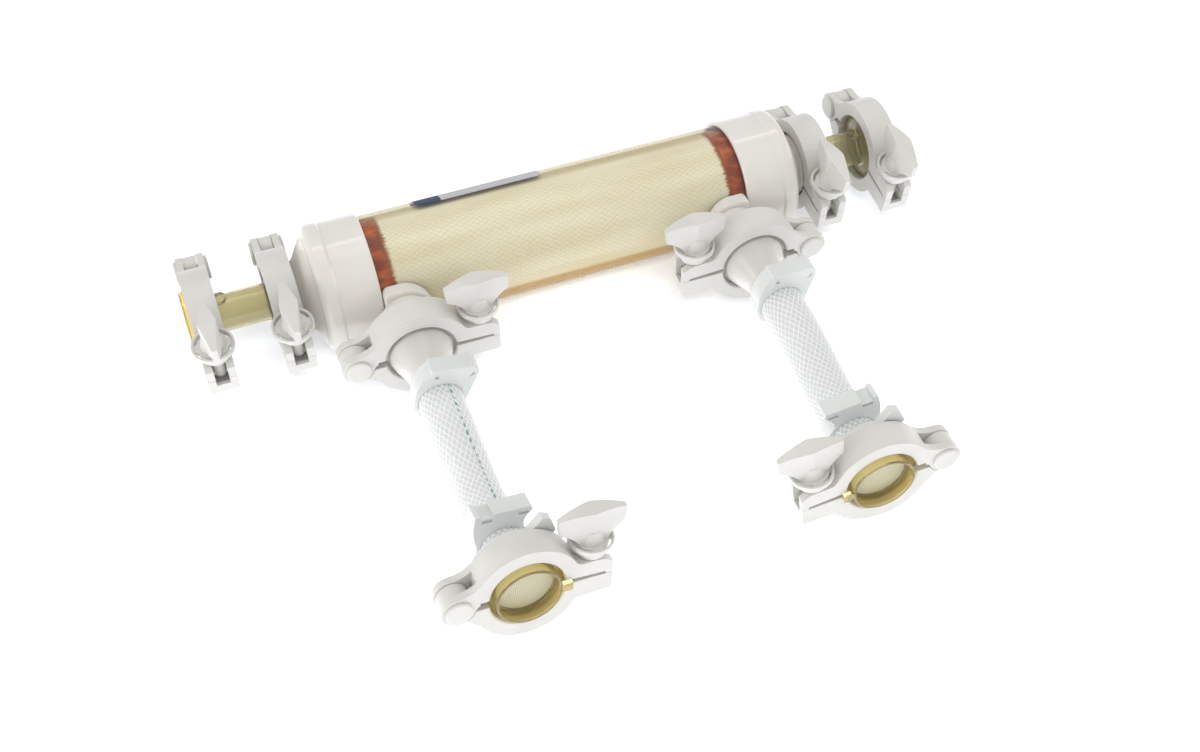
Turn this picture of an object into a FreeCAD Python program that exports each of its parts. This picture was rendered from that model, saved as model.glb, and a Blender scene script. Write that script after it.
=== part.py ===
import FreeCAD, Part
import math
import os

# Hollow fiber filter cartridge, lying on its side, with two hose legs towards the front.
# The cartridge lies along X, the hoses leave towards -Y and Z is up.
# Every joint in the fluid path is a pair of ferrules with a gasket in a hinged clamp.

# Cartridge
shell_radius = 40.0
shell_wall = 2.5
shell_half = 150.0
skirt_wall = 3.0
skirt_radius = shell_radius + skirt_wall
skirt_overlap = 19.5
skirt_start = shell_half - skirt_overlap
band_rise = 1.0
band_radius = skirt_radius + band_rise
band_from_shell = 7.0
band_start = shell_half + band_from_shell
band_slope = 1.6
cap_depth = 20.0
cap_face = shell_half + cap_depth
cap_shoulder = 6.0
neck_radius = 21.5
cone_depth = 9.0
cone_end = cap_face + cone_depth
potting_show = 9.5
bundle_gap = 0.4
slip_gap = 0.15

# Sanitary ferrule and gasket, the size that all pipe ends share
flange_radius = 25.25
flange_rim = 2.85
flange_bevel = math.radians(20.0)
port_bore = 17.4
gasket_thick = 1.6
gasket_gap = 0.05

# Where the clamps sit
neck_length = 11.8
inner_clamp_x = cone_end + neck_length
clamp_spacing = 51.5
outer_clamp_x = inner_clamp_x + clamp_spacing
port_from_skirt = 13.0
port_x = skirt_start - port_from_skirt
port_reach = 33.0
port_clamp_y = -shell_radius - port_reach

# End connector tube
tube_radius = 12.7
tube_bore = 11.0
tongue_width = 9.0
tongue_length = 6.5
tongue_height = 2.2

# Side port
boss_radius = 19.6
boss_side = 12.6
boss_corner = 4.5
boss_front = 29.0
boss_edge = 2.4
port_neck = 16.6
port_foot = 3.0
port_flare = 12.0
side_bore = 13.4
side_bore_taper = (8.0, 14.0)

# Hose, reducer and hose connector
hose_radius = 14.5
hose_bore = 9.5
barb_radius = 9.2
barb_groove = 8.5
barb_pitch = 7.0
barb_bore = 7.2
reducer_body = 21.0
reducer_cone_start = 9.0
reducer_cone_end = 31.0
reducer_tip = 13.2
reducer_length = 56.0
hose_start = 33.0
hose_straight = 78.0
connector_hub = 13.0
connector_hub_end = 16.6
connector_length = 46.0
hose_end_straight = 68.0
bend_share = 0.47

# Hose ends: side step from the port, reach in front of the port clamp, swing, lift and roll
hose_ends = {
    "left": {"step": 6.4, "reach": 191.0, "swing": 2.8, "lift": 7.5, "roll": -6.5},
    "right": {"step": 0.3, "reach": 190.4, "swing": -1.8, "lift": 2.9, "roll": 6.9},
}
clamp_lean = {"left_outer": 5.3, "left_inner": 6.7, "right_inner": 5.3, "right_outer": 7.3}

# Hose clips: distance of each from the clamp beside it, and turn round the hose
clip_near = 45.0
clip_far = 37.5
clip_turn = {"left_port": -11.0, "left_hose": -1.0, "right_port": -1.0, "right_hose": 2.0}
clip_bore = 14.8
clip_band = 2.2
clip_half_width = 6.0
clip_top = 27.5
clip_plain_left = 8.5
clip_plain_right = 22.5
clip_notch_deep = 1.2
clip_toothed_left = 18.0
clip_toothed_right = 17.0
clip_block_deep = 6.2
clip_step = 11.0
clip_step_wall = 3.2
clip_step_drop = 2.2
clip_waist = 12.4
tooth_pitch = 1.3
tooth_count = 5
window_high = 2.6

# White collar with its ramp tab, behind each hose end clamp
collar_radius = 28.0
collar_near = 11.0
collar_thick = 4.8
tab_thick = 6.0
tab_outline = [(7.5, 26.0), (16.0, 36.0), (21.5, 33.4), (24.5, 24.5), (19.0, 17.0), (10.0, 20.0)]

# Cover cup in the free ends
cup_radius = 20.6
cup_wall = 1.7
cup_reach = 12.7
cup_floor = 2.0
cup_lip = 0.7
cup_tab_width = 6.0
cup_tab_reach = 3.2
disc_gap = 1.5
disc_thick = 0.4

# Label on the top of the shell
label_x = (-90.6, -2.0)
label_angle = (24.0, 72.0)
label_corner = 4.0
label_thick = 0.2

# Hinged clamp, in its own axes: l to the lug, a along the pipe, n to the nut
ring_radius = 33.0
ring_bore = 23.4
ring_mouth = 24.2
ring_half = 9.5
groove_gap = 0.15
groove_floor = 25.6
hinge_l = -41.9
hinge_n = 0.5
barrel_radius = 10.3
barrel_gap = 0.4
knuckle_step = 0.5
knuckle_radius = barrel_radius - knuckle_step
knuckle_half = 4.3
knuckle_gap = 0.25
knuckle_window = 2.0
knuckle_window_low = 3.5
under_angle = -42.0
arm_angle = -100.0
hinge_web = 20.0
hinge_split_up = 3.0
hinge_split_low = -2.6
hinge_open = 29.0
shoulder_outline = [(-20.0, hinge_split_low), (-33.5, hinge_split_low), (-37.5, -8.5), (-31.0, -14.5)]
shoulder_outline += [(-20.0, -20.0)]
arm_outline = [(-30.5, -14.0), (-26.0, -12.0), (-26.0, hinge_split_low), (-33.0, hinge_split_low)]
pin_radius = 3.2
pin_gap = 0.08
pin_head = 8.2
pin_head_thick = 2.0
pin_head_edge = 0.7
lug_end = 52.7
lug_low = -13.9
lug_split = -1.1
lug_root = [(28.0, lug_low), (24.0, -16.0)]
lug_root_top = 26.0
prong_top = 12.2
prong_low_ring = 2.3
prong_low_tip = 0.9
foot_start = 48.4
foot_gap = 0.3
prong_fillet = 5.0
prong_touch = -123.0
prong_inset = 3.0
lug_slot_half = 4.4
bolt_l = 42.0
pivot_n = -5.0
shank_radius = 3.9
ball_radius = 4.2
ball_gap = 0.35
trunnion_radius = 2.4
trunnion_reach = 7.4
trunnion_gap = 0.08
slot_wall = 2.6
slot_sill = -6.2

# Wing nut, heights measured from the clamp centre
nut_gap = 0.2
collar_low = 9.2
collar_high = 10.2
nut_flange = 13.8
nut_flange_low = 19.6
nut_flange_high = 22.2
nut_rim_high = 23.3
nut_rim_wall = 1.3
nut_slot_in = 10.5
nut_slot_out = 12.0
nut_slot_half_angle = 27.0
nut_neck_low = 8.3
nut_neck_high = 6.2
nut_neck_top = 31.0
wing_half = 21.2
wing_under = 20.4
wing_tip_low = 31.4
wing_tip_high = 42.4
wing_crest = 46.2
wing_root = 8.5
wing_thick = 6.0
wing_tip_thick = 1.7
bolt_top = 29.0
bolt_gap = 0.1


def vec(x, y, z=0.0):
    return FreeCAD.Vector(x, y, z)


def frame_of(origin, x_axis, y_axis, z_axis):
    """Placement whose local axes point along the three given directions."""
    matrix = FreeCAD.Matrix(
        x_axis.x, y_axis.x, z_axis.x, origin.x,
        x_axis.y, y_axis.y, z_axis.y, origin.y,
        x_axis.z, y_axis.z, z_axis.z, origin.z,
        0, 0, 0, 1)
    return FreeCAD.Placement(matrix)


def turned_about(vector, axis, degrees):
    return FreeCAD.Rotation(axis, degrees).multVec(vector)


def prism(points, low, high):
    """Solid of a closed outline in the l-n plane, between two places along the pipe axis.

    A point is (l, n), and a triple of points in a tuple is an arc through them."""
    edges = []
    last = None
    first = None
    for item in points:
        if isinstance(item[0], tuple):
            start, middle, end = [vec(l, low, n) for l, n in item]
            if last is not None and last.distanceToPoint(start) > 1e-6:
                edges.append(Part.LineSegment(last, start).toShape())
            edges.append(Part.Arc(start, middle, end).toShape())
            first = first or start
            last = end
        else:
            point = vec(item[0], low, item[1])
            if last is not None:
                edges.append(Part.LineSegment(last, point).toShape())
            first = first or point
            last = point
    if last.distanceToPoint(first) > 1e-6:
        edges.append(Part.LineSegment(last, first).toShape())
    face = Part.Face(Part.Wire(edges))
    return face.extrude(vec(0, high - low, 0))


def turned(profile):
    """Solid turned about the local Y axis from (radius, along) points."""
    points = [vec(radius, along) for radius, along in profile]
    face = Part.Face(Part.makePolygon(points + [points[0]]))
    return face.revolve(vec(0, 0), vec(0, 1), 360)


def rod(radius, low, high, axis, at=None):
    """Cylinder between two places along one local axis."""
    at = at or vec(0, 0)
    return Part.makeCylinder(radius, high - low, at + axis * low, axis)


def brick(l_range, a_range, n_range):
    size = [high - low for low, high in (l_range, a_range, n_range)]
    return Part.makeBox(size[0], size[1], size[2], vec(l_range[0], a_range[0], n_range[0]))


def placed(shape, placement):
    moved = shape.copy()
    moved.Placement = placement.multiply(moved.Placement)
    return moved


def ferrule_back(radius):
    """How far behind the gasket plane the flange bevel stands at this radius."""
    return flange_rim + (flange_radius - radius) * math.tan(flange_bevel)


# Seats: one for each clamp, with its centre and directions
axis_height = band_radius


def seat(origin, out, lug, up):
    return {"origin": origin, "out": out, "lug": lug, "up": up}


def end_seat(side, place, clamp_x):
    lean = clamp_lean[side + "_" + place]
    sign = -1 if side == "left" else 1
    along = vec(1, 0)
    up = turned_about(vec(0, 0, 1), along, lean)
    lug = turned_about(vec(0, -1), along, lean)
    return seat(vec(sign * clamp_x, 0, axis_height), along * sign, lug, up)


def port_seat(side):
    sign = -1 if side == "left" else 1
    origin = vec(sign * port_x, port_clamp_y, axis_height)
    return seat(origin, vec(0, -1), vec(-sign, 0), vec(0, 0, 1))


def hose_seat(side):
    sign = -1 if side == "left" else 1
    place = hose_ends[side]
    out = turned_about(vec(0, -1), vec(0, 0, 1), place["swing"])
    across = out.cross(vec(0, 0, 1))
    across.normalize()
    out = turned_about(out, across, place["lift"])
    up = turned_about(across.cross(out), out, place["roll"])
    lug = out.cross(up) * sign
    tilt = math.radians(place["lift"])
    height = ring_radius * math.cos(tilt) + ring_half * math.sin(tilt)
    origin = vec(sign * (port_x - place["step"]), port_clamp_y - place["reach"], height)
    return seat(origin, out, lug, up)


seats = {
    "left_outer": end_seat("left", "outer", outer_clamp_x),
    "left_inner": end_seat("left", "inner", inner_clamp_x),
    "right_inner": end_seat("right", "inner", inner_clamp_x),
    "right_outer": end_seat("right", "outer", outer_clamp_x),
    "left_port": port_seat("left"),
    "right_port": port_seat("right"),
    "left_hose": hose_seat("left"),
    "right_hose": hose_seat("right"),
}


def clamp_frame(place):
    return frame_of(place["origin"], place["lug"], place["up"].cross(place["lug"]), place["up"])


def pipe_frame(place):
    """Local Y points outwards along the pipe and local X to the lug side."""
    third = place["lug"].cross(place["out"])
    return frame_of(place["origin"], place["lug"], place["out"], third)


def side_frame(place, turn=0.0):
    """Local Y points back along the hose, local X to the right and Z up, then turned about the hose."""
    right = place["up"].cross(place["out"])
    right = turned_about(right, place["out"], turn)
    up = turned_about(place["up"], place["out"], turn)
    return frame_of(place["origin"], right, place["out"] * -1, up)


# Cartridge pieces
def cartridge_frame(sign):
    """Local Y runs outwards from the middle of the cartridge."""
    return frame_of(vec(0, 0, axis_height), vec(0, 1), vec(sign, 0), vec(0, 1).cross(vec(sign, 0)))


def make_shell():
    return turned([
        (shell_radius - shell_wall, -shell_half), (shell_radius, -shell_half),
        (shell_radius, shell_half), (shell_radius - shell_wall, shell_half)])


potting_inner = skirt_start - potting_show
potting_radius = shell_radius - shell_wall - slip_gap


def make_bundle():
    radius = shell_radius - shell_wall - bundle_gap
    return rod(radius, -potting_inner + slip_gap, potting_inner - slip_gap, vec(0, 1))


def make_potting():
    return rod(potting_radius, potting_inner, shell_half, vec(0, 1))


def shoulder_points(radius, along, size, steps=6):
    """Quarter round from the side wall to the end face, as (radius, along) points."""
    points = []
    for step in range(steps + 1):
        angle = math.radians(90.0 * step / steps)
        points.append((radius - size + size * math.cos(angle), along - size + size * math.sin(angle)))
    return points


def make_end_cap():
    gasket_face = inner_clamp_x - gasket_thick / 2 - gasket_gap
    bore = shell_radius + slip_gap
    plenum = shell_radius - shell_wall
    outside = [(bore, skirt_start), (skirt_radius - 0.8, skirt_start), (skirt_radius, skirt_start + 0.8)]
    outside += [(skirt_radius, band_start), (band_radius, band_start + band_slope)]
    outside += shoulder_points(band_radius, cap_face, cap_shoulder)
    outside += [(neck_radius + 2.2, cone_end - 1.0), (neck_radius, cone_end + 1.2)]
    outside += [(neck_radius, gasket_face - ferrule_back(neck_radius))]
    outside += [(flange_radius, gasket_face - flange_rim), (flange_radius, gasket_face)]
    inside = [(port_bore, gasket_face), (port_bore, cone_end - 2.0)]
    inside += [(plenum, cap_face - cap_shoulder), (plenum, shell_half + 0.1), (bore, shell_half + 0.1)]
    return turned(outside + inside)


def make_label():
    start, stop = label_angle
    length = label_x[1] - label_x[0]
    radius = shell_radius
    inner = Part.makeCylinder(radius + 0.02, length, vec(label_x[0], 0), vec(1, 0))
    outer = Part.makeCylinder(radius + label_thick, length, vec(label_x[0], 0), vec(1, 0))
    tube = outer.cut(inner)
    half_deep = radius * (math.sin(math.radians(stop - start) / 2))
    outline = rounded_box(length / 2, half_deep, label_corner)
    window = outline.extrude(vec(0, 0, 2 * radius))
    middle = (start + stop) / 2
    spin = FreeCAD.Rotation(vec(1, 0), middle - 90.0)
    centre = vec((label_x[0] + label_x[1]) / 2, 0)
    window.Placement = FreeCAD.Placement(centre, spin)
    sheet = tube.common(window)
    sheet.translate(vec(0, 0, axis_height))
    return sheet


def rounded_box(half_x, half_y, corner):
    """Face in the XY plane with rounded corners."""
    bend = corner * (1 - math.sqrt(0.5))
    edges = []
    corners = [(1, 1), (-1, 1), (-1, -1), (1, -1)]
    ends = []
    for sx, sy in corners:
        a = vec(sx * half_x, sy * (half_y - corner))
        b = vec(sx * (half_x - bend), sy * (half_y - bend))
        c = vec(sx * (half_x - corner), sy * half_y)
        if sx * sy < 0:
            a, c = c, a
        ends.append((a, b, c))
    for index, (a, b, c) in enumerate(ends):
        following = ends[(index + 1) % 4][0]
        edges.append(Part.Arc(a, b, c).toShape())
        edges.append(Part.LineSegment(c, following).toShape())
    return Part.Face(Part.Wire(edges))


def make_side_port(sign):
    """Boss on the shell, neck and ferrule, in the pipe axes of the port seat."""
    shell_at = port_clamp_y
    back = shell_at + shell_radius / 2
    towards_cap = -1.0
    corner_cut = boss_corner * (1 - math.sqrt(0.5))
    round_part = rod(boss_radius, back, -boss_front, vec(0, 1))
    square_part = prism([
        (0, boss_radius), ((towards_cap * (boss_side - boss_corner), boss_radius),
        (towards_cap * (boss_side - corner_cut), boss_radius - corner_cut),
        (towards_cap * boss_side, boss_radius - boss_corner)),
        ((towards_cap * boss_side, -boss_radius + boss_corner),
        (towards_cap * (boss_side - corner_cut), -boss_radius + corner_cut),
        (towards_cap * (boss_side - boss_corner), -boss_radius)), (0, -boss_radius)],
        back, -boss_front)
    cap_side = brick((towards_cap * 40, towards_cap * boss_side), (back - 1, 0), (-40, 40))
    boss = round_part.cut(cap_side).fuse(square_part).removeSplitter()
    rim = [edge for edge in boss.Edges if edge_lies_at(edge, -boss_front)]
    boss = boss.makeFillet(boss_edge, rim)
    gasket_face = -gasket_thick / 2 - gasket_gap
    foot = -boss_front
    neck = turned([
        (side_bore, foot), (port_neck, foot), (port_neck, foot + port_foot),
        (neck_radius - 2.0, foot + port_flare), (neck_radius - 1.0, gasket_face - ferrule_back(neck_radius - 1.0)),
        (flange_radius, gasket_face - flange_rim), (flange_radius, gasket_face),
        (port_bore, gasket_face), (port_bore, gasket_face - side_bore_taper[0]),
        (side_bore, gasket_face - side_bore_taper[1])])
    bore = rod(side_bore, back - 1, foot, vec(0, 1))
    body = boss.cut(bore).fuse(neck)
    shell = Part.makeCylinder(shell_radius + 0.05, 400, vec(-200, shell_at, 0), vec(1, 0))
    return body.cut(shell).removeSplitter()


def edge_lies_at(edge, along):
    box = edge.BoundBox
    return abs(box.YMin - along) < 1e-6 and abs(box.YMax - along) < 1e-6


# Fluid fittings, in the pipe axes of a seat
def ferrule_profile(direction, body_radius):
    """Flange points from the gasket face outwards and along the bevel to the body."""
    face = direction * (gasket_thick / 2 + gasket_gap)
    rim = face + direction * flange_rim
    bevel = face + direction * ferrule_back(body_radius)
    return [(flange_radius, face), (flange_radius, rim), (body_radius, bevel)]


def make_gasket():
    half = gasket_thick / 2
    return turned([
        (port_bore, -half), (flange_radius - 0.3, -half), (flange_radius - 0.3, half), (port_bore, half)])


def make_end_connector():
    """Straight tube with a ferrule at each end, from the inner to the outer clamp."""
    length = outer_clamp_x - inner_clamp_x
    start = -length
    near = gasket_thick / 2 + gasket_gap
    bevel_foot = tube_radius + 1.6
    outside = [(flange_radius, start + near), (flange_radius, start + near + flange_rim)]
    outside += [(bevel_foot, start + near + ferrule_back(bevel_foot))]
    outside += [(tube_radius, start + near + ferrule_back(bevel_foot) + 1.6)]
    outside += [(tube_radius, -near - ferrule_back(bevel_foot) - 1.6)]
    outside += [(bevel_foot, -near - ferrule_back(bevel_foot))]
    outside += [(flange_radius, -near - flange_rim), (flange_radius, -near)]
    mouth = [(port_bore, -near), (port_bore, -near - 1.5), (tube_bore, -near - 5.0)]
    mouth += [(tube_bore, start + near + 5.0), (port_bore, start + near + 1.5), (port_bore, start + near)]
    return turned(outside + mouth)


def make_tongue():
    """Half round tongue on top of the tube, beside the outer flange."""
    outer_face = -ring_half
    reach = outer_face - tongue_length
    width = tongue_width / 2
    face = Part.Face(Part.Wire([
        Part.LineSegment(vec(-width, outer_face), vec(width, outer_face)).toShape(),
        Part.LineSegment(vec(width, outer_face), vec(width, reach + width * 0.6)).toShape(),
        Part.Arc(vec(width, reach + width * 0.6), vec(0, reach), vec(-width, reach + width * 0.6)).toShape(),
        Part.LineSegment(vec(-width, reach + width * 0.6), vec(-width, outer_face)).toShape()]))
    block = face.extrude(vec(0, 0, tube_radius + tongue_height))
    return block.cut(rod(tube_bore + 0.6, reach - 1, outer_face + 1, vec(0, 1)))


def make_cover_cup():
    """Clear cup that closes a free ferrule, its rim standing a little out of the clamp."""
    face = gasket_thick / 2 + gasket_gap
    inner = cup_radius - cup_wall
    profile = [(0, face)] + ferrule_profile(1, cup_radius)
    profile += [(cup_radius, cup_reach - cup_lip), (cup_radius - cup_lip, cup_reach)]
    profile += [(inner, cup_reach), (inner, face + cup_floor + 1.2), (inner - 1.2, face + cup_floor)]
    profile += [(0, face + cup_floor)]
    cup = turned(profile)
    half = cup_tab_width / 2
    tab = brick((inner + 0.3, ring_bore + cup_tab_reach), (ring_half + 0.3, cup_reach), (-half, half))
    return cup.fuse(tab).removeSplitter()


def make_cup_disc():
    face = gasket_thick / 2 + gasket_gap + cup_floor + 0.02
    return rod(cup_radius - cup_wall - disc_gap, face, face + disc_thick, vec(0, 1))


def barb_points(direction, start, stop):
    """Saw-tooth barb from start to stop, measured along the pipe."""
    points = []
    count = int(abs(stop - start) / barb_pitch)
    for tooth in range(count):
        crest = start + direction * tooth * barb_pitch
        points.append((barb_radius, crest))
        points.append((barb_groove, crest + direction * barb_pitch * 0.9))
    points.append((barb_radius, start + direction * count * barb_pitch))
    points.append((barb_groove - 0.4, stop))
    return points


def make_reducer():
    face = gasket_thick / 2 + gasket_gap
    outside = ferrule_profile(1, reducer_body)
    outside += [(reducer_body, reducer_cone_start), (reducer_tip, reducer_cone_end)]
    outside += [(reducer_tip, reducer_cone_end + 1.4)]
    outside += barb_points(1, reducer_cone_end + 1.4, reducer_length)
    inside = [(barb_bore, reducer_length), (barb_bore, reducer_cone_end)]
    inside += [(port_bore, reducer_cone_start), (port_bore, face)]
    return turned(outside + inside)


def make_hose_connector():
    face = -gasket_thick / 2 - gasket_gap
    body = reducer_body - 1.0
    outside = ferrule_profile(-1, body)
    outside += [(connector_hub, -collar_near + 0.6), (connector_hub, -connector_hub_end)]
    outside += barb_points(-1, -connector_hub_end, -connector_length)
    inside = [(barb_bore, -connector_length), (barb_bore, -connector_hub_end)]
    inside += [(port_bore, face - 4.0), (port_bore, face)]
    return turned(outside + inside)


def make_ramp_collar():
    """White ring on the connector hub, with a ramp and block standing up on its right."""
    ring = rod(collar_radius, collar_near, collar_near + collar_thick, vec(0, 1))
    tab = prism(tab_outline, collar_near, collar_near + tab_thick)
    hole = rod(connector_hub + slip_gap, collar_near - 1, collar_near + tab_thick + 1, vec(0, 1))
    return ring.fuse(tab).cut(hole).removeSplitter()


# Hose on its path of straight runs joined by tangent arcs
def hose_path(port, end):
    start = port["origin"] + port["out"] * hose_start
    bend_one = port["origin"] + port["out"] * hose_straight
    stop = end["origin"] - end["out"] * (connector_hub_end + 0.3)
    bend_two = end["origin"] - end["out"] * hose_end_straight
    route = [start, bend_one, bend_two, stop]
    edges = []
    last = start
    radii = []
    for index in (1, 2):
        before = route[index - 1] - route[index]
        after = route[index + 1] - route[index]
        turn = math.pi - before.getAngle(after)
        reach = bend_share * min(before.Length, after.Length)
        radii.append(reach / math.tan(turn / 2))
        before.normalize()
        after.normalize()
        enter = route[index] + before * reach
        leave = route[index] + after * reach
        inward = before + after
        inward.normalize()
        sag = radii[-1] / math.cos(turn / 2) - radii[-1]
        middle = route[index] + inward * sag
        edges.append(Part.LineSegment(last, enter).toShape())
        edges.append(Part.Arc(enter, middle, leave).toShape())
        last = leave
    edges.append(Part.LineSegment(last, stop).toShape())
    return Part.Wire(edges), radii


def make_hose(port, end):
    path, radii = hose_path(port, end)
    start = port["origin"] + port["out"] * hose_start
    tubes = []
    for radius in (hose_radius, hose_bore):
        circle = Part.Wire([Part.makeCircle(radius, start, port["out"])])
        tubes.append(path.makePipeShell([circle], True, False))
    hose = tubes[0].cut(tubes[1])
    area = math.pi * (hose_radius ** 2 - hose_bore ** 2)
    print("hose length %.1f mm, bend radii %s, volume ratio %.4f" % (
        path.Length, [round(radius) for radius in radii], hose.Volume / (area * path.Length)))
    return hose


def make_port_clip():
    """Ratchet clip seen from its plain side: a leaning block with a straight flank down to the band."""
    outer = clip_bore + clip_band
    half = clip_half_width
    top = clip_top
    left = -clip_plain_left
    right = clip_plain_right
    block = prism([
        (left, top), (right - 4.0, top), (right, top - 3.5), (right, top - 8.0), (outer - 0.4, -3.0),
        (0, 0), (-outer + 0.4, 3.0), ((-outer + 0.4, 3.0), (-outer + 1.6, 15.0), (left - 2.5, top - 5.0)),
        (left, top - 2.6)], -half, half)
    body = rod(outer, -half, half, vec(0, 1)).fuse(block)
    body = body.cut(rod(clip_bore, -half - 1, half + 1, vec(0, 1)))
    notch = prism([(left + 2.4, top - 7.4), (left + 5.2, top - 7.4), (left + 4.6, top - 4.6),
                   (left + 3.0, top - 4.6)], -half - 1, clip_notch_deep - half)
    slit = prism([(right - 5.6, top - 9.4), (right - 2.9, top - 7.6), (right - 2.9, top - 5.4),
                  (right - 3.7, top - 5.4), (right - 3.7, top - 7.2), (right - 6.0, top - 8.8)],
                 -half - 1, clip_notch_deep - half)
    return body.cut(notch).cut(slit).removeSplitter()


def turned_round(shape):
    """The piece as it sits when it is put on the other way round."""
    return placed(shape, FreeCAD.Placement(vec(0, 0), FreeCAD.Rotation(vec(0, 0, 1), 180)))


def make_end_clip():
    """Ratchet clip seen from its toothed side: a stepped block over waisted jaws."""
    outer = clip_bore + clip_band
    half = clip_half_width
    top = clip_top
    low = top - clip_block_deep
    left = -clip_toothed_left
    right = clip_toothed_right
    waist = clip_waist
    block = prism([
        (left, top), (right, top), (right + 0.9, top - 3.4),
        ((right + 0.9, top - 3.4), (waist + 1.0, low - 2.4), (waist, low - 10.5)),
        (0, 0), (-outer + 0.4, 3.0), ((-outer + 0.4, 3.0), (left - 1.0, low - 5.0), (left - 0.6, low + 1.5))],
        -half, half)
    step_end = left + clip_step
    recess = brick((left + clip_step_wall, step_end), (-half - 1, half + 1), (top - clip_step_drop, top + 1))
    body = rod(outer, -half, half, vec(0, 1)).fuse(block).cut(recess)
    body = body.cut(rod(clip_bore, -half - 1, half + 1, vec(0, 1)))
    for begin in (left + 4.0, right - 8.0):
        body = body.cut(tooth_window(begin, low + 0.8, half))
    return body.removeSplitter()


def tooth_window(start, low, half):
    """Shallow window in both faces, its upper edge a row of ratchet teeth."""
    outline = [(start, low), (start, low + window_high)]
    for tooth in range(tooth_count):
        left = start + tooth * tooth_pitch
        outline.append((left + tooth_pitch * 0.15, low + window_high))
        outline.append((left + tooth_pitch * 0.85, low + window_high * 0.6))
        outline.append((left + tooth_pitch, low + window_high))
    outline.append((start + tooth_count * tooth_pitch, low))
    front = prism(outline, -half - 0.1, -half + clip_notch_deep)
    back = prism(outline, half - clip_notch_deep, half + 0.1)
    return front.fuse(back)


# Hinged clamp
def web_between(centre, radius, fillet):
    """Outline that fills the hollow above the ring and a smaller round with a tangent arc."""
    span = math.hypot(centre[0], centre[1])
    to_ring = ring_radius + fillet
    to_round = radius + fillet
    along = (to_ring ** 2 - to_round ** 2 + span ** 2) / (2 * span)
    rise = math.sqrt(to_ring ** 2 - along ** 2)
    unit = (centre[0] / span, centre[1] / span)
    side = (unit[1], -unit[0])
    middle = (unit[0] * along + side[0] * rise, unit[1] * along + side[1] * rise)
    on_ring = (middle[0] * ring_radius / to_ring, middle[1] * ring_radius / to_ring)
    on_round = (centre[0] + (middle[0] - centre[0]) * radius / to_round,
                centre[1] + (middle[1] - centre[1]) * radius / to_round)
    low = ((on_ring[0] + on_round[0]) / 2 - middle[0], (on_ring[1] + on_round[1]) / 2 - middle[1])
    size = math.hypot(low[0], low[1])
    touch = (middle[0] + low[0] * fillet / size, middle[1] + low[1] * fillet / size)
    return [(0, 0), (on_ring, touch, on_round), centre]


def groove_cutter():
    """Bore of the clamp with the bevelled groove that pulls the two flanges together."""
    face = gasket_thick / 2 + gasket_gap + flange_rim
    lip = face + (flange_radius - ring_bore) * math.tan(flange_bevel) + groove_gap
    floor = face - (groove_floor - flange_radius) * math.tan(flange_bevel) + groove_gap
    chamfer = ring_mouth - ring_bore
    side = [(ring_mouth, ring_half + 1), (ring_mouth, ring_half), (ring_bore, ring_half - chamfer)]
    side += [(ring_bore, lip), (groove_floor, floor)]
    mirror = [(radius, -along) for radius, along in reversed(side)]
    return turned([(0, ring_half + 1)] + side + mirror + [(0, -ring_half - 1)])


def pivot_arc(angle_from, angle_to, radius):
    """Arc about the bolt pivot, angles measured from the nut direction towards the lug end."""
    points = []
    for angle in (angle_from, (angle_from + angle_to) / 2, angle_to):
        points.append((bolt_l + radius * math.sin(angle), pivot_n + radius * math.cos(angle)))
    return tuple(points)


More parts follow.
